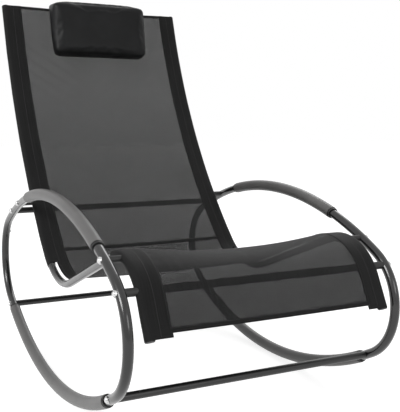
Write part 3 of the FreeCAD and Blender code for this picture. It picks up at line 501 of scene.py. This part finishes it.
def hem_section(along, side):
    """The P-shaped outline at one place, as (inward, up) pairs."""
    wave = 0.0006 * math.sin(along * 43.0 + side) + 0.0007 * noise.noise((along * 16, side * 3.0, 1.0))
    fold = HEM_REACH + 0.0015 + 0.0006 * noise.noise((along * 30, side * 5.0, 2.0))
    points = [
        (fold - 0.0007, LOOP - 0.0002), (fold, (LOOP + STRIP_LOW) / 2), (fold - 0.0007, STRIP_LOW + 0.0002),
    ]
    for inward in (0.034, 0.026, 0.018, 0.012):
        dip = 0.0005 if inward == 0.018 else 0.0
        points.append((inward, STRIP_LOW - wave * 0.3 + dip))
    start = math.atan2(STRIP_LOW, 0.0062)
    for angle in spread(start, -math.pi * 1.5, 22):
        swell = LOOP + 0.0001 + max(0.0, wave) * (0.5 - 0.5 * math.cos(angle - math.pi / 2))
        points.append((swell * math.cos(angle), swell * math.sin(angle)))
    for inward in (0.006, 0.012, 0.018, 0.026, 0.034):
        dip = 0.0004 if inward == 0.018 else 0.0
        points.append((inward, LOOP - dip))
    return points


def side_hem(name, side, first, last, rows_count, replaced):
    rows = []
    uv = []
    for along in spread(first, last, rows_count):
        row = []
        row_uv = []
        travelled = 0.0
        previous = None
        for inward, up in hem_section(along, side):
            y, z, _ = rail_at(along, up)
            row.append(Vector((side * (RAIL_X - inward), y, z)))
            if previous is not None:
                travelled += math.dist(previous, (inward, up))
            previous = (inward, up)
            row_uv.append((travelled, along))
        rows.append(row)
        uv.append(row_uv)
    hem = strip(name, rows, closed=True, uv=uv)
    hem.data.materials.append(hem_cloth)
    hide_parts(replaced)
    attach(hem, "chair_frame")
    return hem


FRONT_LOOP_END = 0.23304
BACK_LOOP_START = 0.70031
hems = []
for side, word in ((-1, "right"), (1, "left")):
    hems.append(side_hem(
        f"front_hem_{word}", side, 0.0, FRONT_LOOP_END, 60, f"front_side_hem_{word}",
    ))
    hems.append(side_hem(
        f"back_hem_{word}", side, BACK_LOOP_START, rail_length + 0.0005, 190, f"back_side_hem_{word}",
    ))
print("hems:", len(hems))

# %% [markdown]
# ## The seat's free edges and the cross hems
#
# Between the two loops the rail is bare and the seat's doubled edge runs along it like a flat ribbon.
# Across the chair there are three more ribbons: the front edge, the seam at the waist where seat and
# back are sewn together, and the top edge. A flat ribbon is a section of six points with rounded
# sides, carried along or across the sling.

# %% Ribbons along the seat's edges
EDGE_GAP = 0.011


def edge_ribbon(name, side, replaced):
    rows = []
    uv = []
    for along in spread(FRONT_LOOP_END, BACK_LOOP_START, 120):
        wave = 0.0007 * noise.noise((along * 14, side * 2.0, 5.0))
        section = []
        for inward in spread(EDGE_GAP + 0.001, HEM_REACH + 0.001, 8):
            section.append((inward, LOOP + wave * (1 - abs(inward - 0.026) / 0.02)))
        section.append((HEM_REACH + 0.0015, (LOOP + STRIP_LOW) / 2))
        for inward in spread(HEM_REACH + 0.001, EDGE_GAP + 0.001, 8):
            section.append((inward, STRIP_LOW + wave * (1 - abs(inward - 0.026) / 0.02)))
        section.append((EDGE_GAP + 0.0004, (LOOP + STRIP_LOW) / 2))
        row = []
        for inward, up in section:
            y, z, _ = rail_at(along, up)
            row.append(Vector((side * (RAIL_X - inward), y, z)))
        rows.append(row)
        uv.append([(inward if up > 0.009 else 0.08 - inward, along) for inward, up in section])
    ribbon = strip(name, rows, closed=True, uv=uv)
    ribbon.data.materials.append(hem_cloth)
    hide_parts(replaced)
    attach(ribbon, "chair_frame")
    return ribbon


for side, word in ((-1, "right"), (1, "left")):
    hems.append(edge_ribbon(f"seat_ribbon_{word}", side, f"seat_edge_hem_{word}"))


# %% Ribbons across the sling
def cross_ribbon(name, first, last, half_thickness, replaced, bulge=0.0):
    rows = []
    uv = []
    for x in spread(-MESH_HALF, MESH_HALF, 90):
        wave = 0.0005 * noise.noise((x * 18, first * 3, 7.0))
        section = []
        for share in spread(0.0, 1.0, 6):
            lift = half_thickness + bulge * math.sin(math.pi * share)
            section.append((first + (last - first) * share, lift + wave))
        for share in spread(1.0, 0.0, 6):
            section.append((first + (last - first) * share, -half_thickness + wave))
        rows.append([sling_point(x, along, mesh_rise(x, along) + up) for along, up in section])
        uv.append([(x, along if up > 0 else along + 0.03) for along, up in section])
    ribbon = strip(name, rows, closed=True, uv=uv)
    ribbon.data.materials.append(hem_cloth)
    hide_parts(replaced)
    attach(ribbon, "chair_frame")
    return ribbon


front_ribbon = cross_ribbon("front_ribbon", FRONT_EDGE, FRONT_HEM_END, 0.0008, "front_edge_hem")
waist_ribbon = cross_ribbon("waist_ribbon", SEAM - SEAM_HALF, SEAM + SEAM_HALF, 0.0008, "waist_seam", 0.0005)
top_ribbon = cross_ribbon("top_ribbon", TOP_HEM_START, rail_length, 0.0008, "top_hem", 0.0004)

# %% [markdown]
# ## Stitches
#
# Two lines of thread hold each hem: one beside the rail, one near the fold. A stitch is a short bead
# of thread that dips into the cloth at both ends. Building one bead and repeating it along the hem is
# honest and light: six faces each are enough, because they are only 3 mm long.

# %% One mesh of beads along each line
BEAD = ((0.0, -0.0002, 0.4), (0.3, 0.0003, 1.0), (0.7, 0.0003, 1.0), (1.0, -0.0002, 0.4))
STITCH_STEP = 0.004
STITCH_LENGTH = 0.003


def stitch_line(name, places):
    """places is a list of (start, end, up) for each stitch."""
    build = bmesh.new()
    for start, end, up in places:
        way = end - start
        side_way = way.cross(up).normalized() * 0.00035
        rings = []
        for share, lift, width in BEAD:
            centre = start + way * share + up * lift
            rings.append([
                build.verts.new(centre + side_way * width),
                build.verts.new(centre + up * 0.0003 * width),
                build.verts.new(centre - side_way * width),
            ])
        for a, b in zip(rings, rings[1:]):
            for i in range(2):
                build.faces.new((a[i], a[i + 1], b[i + 1], b[i]))
    mesh = bpy.data.meshes.new(name)
    build.to_mesh(mesh)
    build.free()
    for polygon in mesh.polygons:
        polygon.use_smooth = True
    mesh.materials.append(thread_finish)
    line = bpy.data.objects.new(name, mesh)
    bpy.context.scene.collection.objects.link(line)
    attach(line, "chair_frame")
    return line


def along_places(side, inward, first, last):
    """Stitches 3 mm long with 1 mm between, running along the rail."""
    places = []
    for i in range(int((last - first) / STITCH_STEP)):
        ends = []
        for along in (first + i * STITCH_STEP, first + i * STITCH_STEP + STITCH_LENGTH):
            y, z, heading = rail_at(along, LOOP)
            ends.append(Vector((side * (RAIL_X - inward), y, z)))
        up = Vector((0, -math.sin(heading), math.cos(heading)))
        places.append((ends[0], ends[1], up))
    return places


def across_places(along, lift):
    """Stitches running across the sling."""
    places = []
    for i in range(int(2 * MESH_HALF / STITCH_STEP)):
        x = -MESH_HALF + i * STITCH_STEP
        heading = rail_at(along)[2]
        up = Vector((0, -math.sin(heading), math.cos(heading)))
        ends = [sling_point(v, along, mesh_rise(v, along) + lift) for v in (x, x + STITCH_LENGTH)]
        places.append((ends[0], ends[1], up))
    return places


threads = []
for side, word in ((-1, "right"), (1, "left")):
    for inward in (0.0185, 0.0385):
        spots = along_places(side, inward, 0.004, FRONT_LOOP_END - 0.004)
        spots += along_places(side, inward, FRONT_LOOP_END + 0.004, BACK_LOOP_START - 0.004)
        spots += along_places(side, inward, BACK_LOOP_START + 0.004, rail_length - 0.004)
        threads.append(stitch_line(f"hem_thread_{word}_{round(inward * 10000)}", spots))
waist_places = across_places(SEAM - 0.003, 0.0011) + across_places(SEAM + 0.003, 0.0011)
threads.append(stitch_line("waist_thread", waist_places))
threads.append(stitch_line("top_thread", across_places(TOP_HEM_START + 0.002, 0.0011)))
threads.append(stitch_line("front_thread", across_places(FRONT_HEM_END - 0.002, 0.0009)))
print("stitches:", sum(len(t.data.polygons) for t in threads) // 6)

for sheet, node_name, first, last in (
    (seat_sheet, "seat_mesh", FRONT_HEM_END - 0.002, SEAM - 0.002),
    (back_sheet, "back_mesh", SEAM + 0.002, TOP_HEM_START + 0.002),
):
    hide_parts(node_name)
    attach(sheet, "chair_frame")

# %% [markdown]
# ## The head pillow
#
# A pillow gets its shape from being stuffed: flat panels sewn together, then blown up. So we sew a
# box with rounded edges and let Blender's cloth simulation inflate it with pressure for twenty
# frames, with gravity off. The result is applied, so only a plain mesh is left, and then subdivided.

# %% The directions of the back behind the pillow
PILLOW_MID = rail_length + 0.015 - 0.085
pillow_y, pillow_z, pillow_heading = rail_at(PILLOW_MID)
UP_BACK = Vector((0, math.cos(pillow_heading), math.sin(pillow_heading)))
OUT_FRONT = Vector((0, -math.sin(pillow_heading), math.cos(pillow_heading)))
pillow_low, pillow_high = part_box("pillow")
print("pillow solid:", [round(v, 3) for v in (pillow_high - pillow_low)])


def beside_back(x, up, out):
    return Vector((x, pillow_y, pillow_z)) + UP_BACK * up + OUT_FRONT * out


# %% The sewn form before it is stuffed
PILLOW_HALF = 0.1395
PILLOW_MIDDLE = 0.036
BOX_HALF = (0.083, 0.030)
EDGE_ROUNDING = 0.011
# The side view's corners as (up the back, out from it): back low, back high, front high, front low.
PILLOW_SIDE = [(-0.086, 0.008), (0.085, 0.008), (0.058, 0.081), (-0.086, 0.052)]


def pillow_form(shrink):
    """A box with rounded edges, pulled into a wedge that is thick at the top and slopes forward."""
    build = bmesh.new()
    bmesh.ops.create_cube(build, size=2.0)
    bmesh.ops.subdivide_edges(build, edges=build.edges[:], cuts=23, use_grid_fill=True)
    half = (PILLOW_HALF - shrink, BOX_HALF[0] - shrink, BOX_HALF[1] - shrink)
    back_low, back_high, front_high, front_low = PILLOW_SIDE
    for vert in build.verts:
        place = Vector((vert.co.x * half[0], vert.co.y * half[1], vert.co.z * half[2]))
        inner = Vector([
            max(-h + EDGE_ROUNDING, min(h - EDGE_ROUNDING, v)) for h, v in zip(half, place)
        ])
        off = place - inner
        if off.length > 1e-9:
            place = inner + off.normalized() * min(off.length, EDGE_ROUNDING)
        u = (place.y + BOX_HALF[0]) / (2 * BOX_HALF[0])
        w = (place.z + BOX_HALF[1]) / (2 * BOX_HALF[1])
        back_up, back_out = back_low[0] + (back_high[0] - back_low[0]) * u, back_low[1]
        front_up = front_low[0] + (front_high[0] - front_low[0]) * u
        front_out = front_low[1] + (front_high[1] - front_low[1]) * u
        ends = 1 - 0.05 * (abs(place.x) / half[0]) ** 6
        up = back_up + (front_up - back_up) * w
        out = back_out + (front_out - back_out) * w
        thinner = 1 - 0.13 * (abs(place.x) / half[0]) ** 4
        vert.co = beside_back(place.x, up * ends, PILLOW_MIDDLE + (out - PILLOW_MIDDLE) * thinner)
    mesh = bpy.data.meshes.new("pillow_stuffed")
    build.to_mesh(mesh)
    build.free()
    form = bpy.data.objects.new("pillow_stuffed", mesh)
    bpy.context.scene.collection.objects.link(form)
    return form


stuffed = pillow_form(-0.0005)

# %% Stuff it: cloth simulation with pressure
def inflate(form, pressure, most):
    """Blow the form up, and keep every point within a given distance of where it started."""
    bpy.context.view_layer.objects.active = form
    remesh = form.modifiers.new("even_grid", "REMESH")
    remesh.mode = "VOXEL"
    remesh.voxel_size = 0.0045
    bpy.ops.object.modifier_apply(modifier=remesh.name)
    before = [vert.co.copy() for vert in form.data.vertices]
    cloth = form.modifiers.new("stuffing", "CLOTH")
    cloth.settings.use_pressure = True
    cloth.settings.uniform_pressure_force = pressure
    cloth.settings.effector_weights.gravity = 0.0
    cloth.settings.quality = 6
    cloth.settings.tension_stiffness = 20
    cloth.settings.compression_stiffness = 20
    for step in range(1, 21):
        bpy.context.scene.frame_set(step)
    depsgraph = bpy.context.evaluated_depsgraph_get()
    after = [vert.co.copy() for vert in form.evaluated_get(depsgraph).data.vertices]
    form.modifiers.remove(cloth)
    furthest = 0.0
    for vert, old, new in zip(form.data.vertices, before, after):
        move = new - old
        if move.length > most:
            move *= most / move.length
        furthest = max(furthest, move.length)
        vert.co = old + move
    bpy.context.scene.frame_set(1)
    return furthest


print("pillow swelled by at most", round(inflate(stuffed, 3.0, 0.004) * 1000, 1), "mm")
smooth_mod = stuffed.modifiers.new("relax", "SMOOTH")
smooth_mod.iterations = 2
smooth_mod.factor = 0.5
subdivide = stuffed.modifiers.new("finer", "SUBSURF")
subdivide.levels = 1
subdivide.render_levels = 1
bpy.context.view_layer.objects.active = stuffed
for modifier in (smooth_mod, subdivide):
    bpy.ops.object.modifier_apply(modifier=modifier.name)
for polygon in stuffed.data.polygons:
    polygon.use_smooth = True
stuffed.data.materials.append(cover)
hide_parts("pillow")
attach(stuffed, "head_pillow")
print("pillow:", len(stuffed.data.vertices), "points")

# %% [markdown]
# ## Straps and the weighted pouch
#
# The pillow isn't fastened. Two flat straps cross the top hem and a weighted pouch behind the back
# keeps it from sliding down. A strap is a ribbon again; the pouch is a flat bag, sewn round its edge
# and swollen by its filling, so it is thickest low down, where the filling settles.

# %% Strap line and straps
STRAP_RUNS = [
    (0.0058, 0.0, (0.55818, 0.92976, -0.30369)),
    (0.0031678, -400.0, (0.56372, 0.92802, -0.30369)),
    (0.0580, 0.0, (0.56547, 0.92564, -math.pi / 2)),
]
strap_length = sum(run[0] for run in STRAP_RUNS)


def strap_at(along, rise):
    travelled = 0.0
    for length, bend, start in STRAP_RUNS:
        if along <= travelled + length + 1e-9:
            y, z, heading = walk(*start, bend, along - travelled)
            return y - rise * math.sin(heading), z + rise * math.cos(heading)
        travelled += length


webbing = woven("strap_webbing", grey(0.06), grey(0.10), 0.0011, 0.0, 0.7)
for side, word in ((-1, "right"), (1, "left")):
    rows = []
    uv = []
    for along in spread(0.0, strap_length, 60):
        outline = [(x, 0.0006) for x in spread(-0.0125, 0.0125, 10)] + [(0.0127, 0.0)]
        outline += [(x, -0.0006) for x in spread(0.0125, -0.0125, 10)] + [(-0.0127, 0.0)]
        rows.append([Vector((side * 0.07 + x, *strap_at(along, rise))) for x, rise in outline])
        uv.append([(x if rise >= 0 else 0.03 - x, along) for x, rise in outline])
    strap = strip(f"strap_{word}", rows, closed=True, uv=uv)
    strap.data.materials.append(webbing)
    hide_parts("pillow_straps")
    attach(strap, "head_pillow")

# %% The pouch
pouch_low, pouch_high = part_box("pillow_counterweight")
pouch_middle = (pouch_low + pouch_high) / 2
pouch_half = (pouch_high - pouch_low) / 2


def pouch_side(sign):
    rows = []
    uv = []
    for across in spread(-1.0, 1.0, 60):
        row = []
        row_uv = []
        for height in spread(-1.0, 1.0, 24):
            fill = (max(0.0, 1 - across ** 4) ** 0.5) * (max(0.0, 1 - height ** 2) ** 0.6)
            belly = fill * (1 - 0.25 * height) * (1 + 0.12 * noise.noise((across * 4, height * 3, 0.5)))
            depth = pouch_half.y * 0.06 + pouch_half.y * 0.86 * min(1.0, belly)
            x = pouch_middle.x + across * pouch_half.x * (1 - 0.015 * (1 - height ** 2))
            row.append(Vector((x, pouch_middle.y + sign * depth, pouch_middle.z + height * pouch_half.z)))
            row_uv.append((across * pouch_half.x, height * pouch_half.z))
        rows.append(row if sign > 0 else row[::-1])
        uv.append(row_uv if sign > 0 else row_uv[::-1])
    half = strip(f"pouch_{'rear' if sign > 0 else 'front'}", rows, uv=uv)
    half.data.materials.append(webbing)
    return half


pouch = pouch_side(1)
bpy.ops.object.select_all(action="DESELECT")
other_side = pouch_side(-1)
other_side.select_set(True)
pouch.select_set(True)
bpy.context.view_layer.objects.active = pouch
bpy.ops.object.join()
seal = bmesh.new()
seal.from_mesh(pouch.data)
open_edges = [edge for edge in seal.edges if edge.is_boundary]
bmesh.ops.bridge_loops(seal, edges=open_edges)
bmesh.ops.recalc_face_normals(seal, faces=seal.faces[:])
seal.to_mesh(pouch.data)
seal.free()
pouch.name = "weighted_pouch"
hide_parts("pillow_counterweight")
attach(pouch, "head_pillow")
print("pouch:", len(pouch.data.polygons), "faces")

# %% [markdown]
# ## Floor, light and camera
#
# The chair stands on a plain pale floor. To the camera the floor and the world are white, as in a
# plain product picture, but as light sources they stay modest, so the dark steel keeps its tone.
# The floor's glow is seen but lights nothing, and the chair's soft shadow still falls on it.

# %% Floor and backdrop
def seen_directly(tree):
    """1 for a ray that goes straight to the camera, through clear holes or off a glossy surface."""
    rays = tree.nodes.new("ShaderNodeLightPath")
    total = rays.outputs["Is Camera Ray"]
    for name in ("Is Glossy Ray", "Is Transmission Ray"):
        either = tree.nodes.new("ShaderNodeMath")
        either.operation = "MAXIMUM"
        tree.links.new(total, either.inputs[0])
        tree.links.new(rays.outputs[name], either.inputs[1])
        total = either.outputs[0]
    return total


def by_ray(tree, factor, otherwise, direct):
    """One number for light that only lights, another for what is seen directly."""
    span = tree.nodes.new("ShaderNodeMapRange")
    span.inputs["To Min"].default_value = otherwise
    span.inputs["To Max"].default_value = direct
    tree.links.new(factor, span.inputs["Value"])
    return span.outputs["Result"]


floor_finish, floor_shader = new_finish("pale_floor", Roughness=0.9)
floor_shader.inputs["Base Color"].default_value = grey(0.80)
floor_shader.inputs["Specular IOR Level"].default_value = 0.0
floor_shader.inputs["Emission Color"].default_value = (1, 1, 1, 1)
floor_tree = floor_finish.node_tree
floor_glow = by_ray(floor_tree, seen_directly(floor_tree), 0.0, 0.80)
floor_tree.links.new(floor_glow, floor_shader.inputs["Emission Strength"])
bpy.ops.mesh.primitive_plane_add(size=24.0, location=(0, 0, -0.0005))
floor = bpy.context.active_object
floor.name = "studio_floor"
floor.data.materials.append(floor_finish)

world = bpy.data.worlds.new("studio")
bpy.context.scene.world = world
world.use_nodes = True
tree = world.node_tree
background = tree.nodes["Background"]
background.inputs["Color"].default_value = (1, 1, 1, 1)
tree.links.new(by_ray(tree, seen_directly(tree), 0.42, 1.0), background.inputs["Strength"])


# %% Three soft lamps
def soft_lamp(name, place, aim, width, watts):
    data = bpy.data.lights.new(name, "AREA")
    data.shape = "RECTANGLE"
    data.size = width
    data.size_y = width * 0.7
    data.energy = watts
    lamp = bpy.data.objects.new(name, data)
    lamp.location = place
    lamp.rotation_euler = (Vector(aim) - Vector(place)).to_track_quat("-Z", "Y").to_euler()
    bpy.context.scene.collection.objects.link(lamp)
    return lamp


soft_lamp("key_lamp", (-3.2, -1.2, 2.6), (0, 0, 0.4), 1.8, 95)
soft_lamp("front_lamp", (0.6, -3.4, 1.6), (0, 0, 0.5), 1.6, 20)
soft_lamp("rim_lamp", (2.4, 2.6, 2.8), (0, 0, 0.5), 2.0, 25)

# %% [markdown]
# ## The camera
#
# The photograph's camera was worked out from the two equal hoops: it stands 1.8 m in front of the
# chair, to the sitter's right, a little above the armrests, and looks slightly down. Blender wants
# the camera's own right, up and backward directions as the columns of its matrix.

# %% Camera at the photograph's place
CAMERA_PLACE = Vector((-0.7460, -1.6226, 0.6284))
YAW, PITCH, ROLL = (math.radians(v) for v in (27.090, 7.025, -0.450))
look = Vector((math.sin(YAW) * math.cos(PITCH), math.cos(YAW) * math.cos(PITCH), -math.sin(PITCH)))
level_right = Vector((math.cos(YAW), -math.sin(YAW), 0))
level_down = look.cross(level_right)
right = level_right * math.cos(ROLL) + level_down * math.sin(ROLL)
down = level_down * math.cos(ROLL) - level_right * math.sin(ROLL)
camera_data = bpy.data.cameras.new("photo_camera")
camera_data.sensor_fit = "HORIZONTAL"
camera_data.sensor_width = 36.0
camera_data.lens = 66.84
camera_data.shift_x = -0.85 / 400
camera_data.shift_y = -1.20 / 400
camera = bpy.data.objects.new("photo_camera", camera_data)
columns = Matrix((right, -down, -look)).transposed().to_4x4()
columns.translation = CAMERA_PLACE
camera.matrix_world = columns
bpy.context.scene.collection.objects.link(camera)
bpy.context.scene.camera = camera
bpy.context.scene.view_settings.view_transform = "Standard"
print("camera distance:", round(CAMERA_PLACE.length, 2), "m")
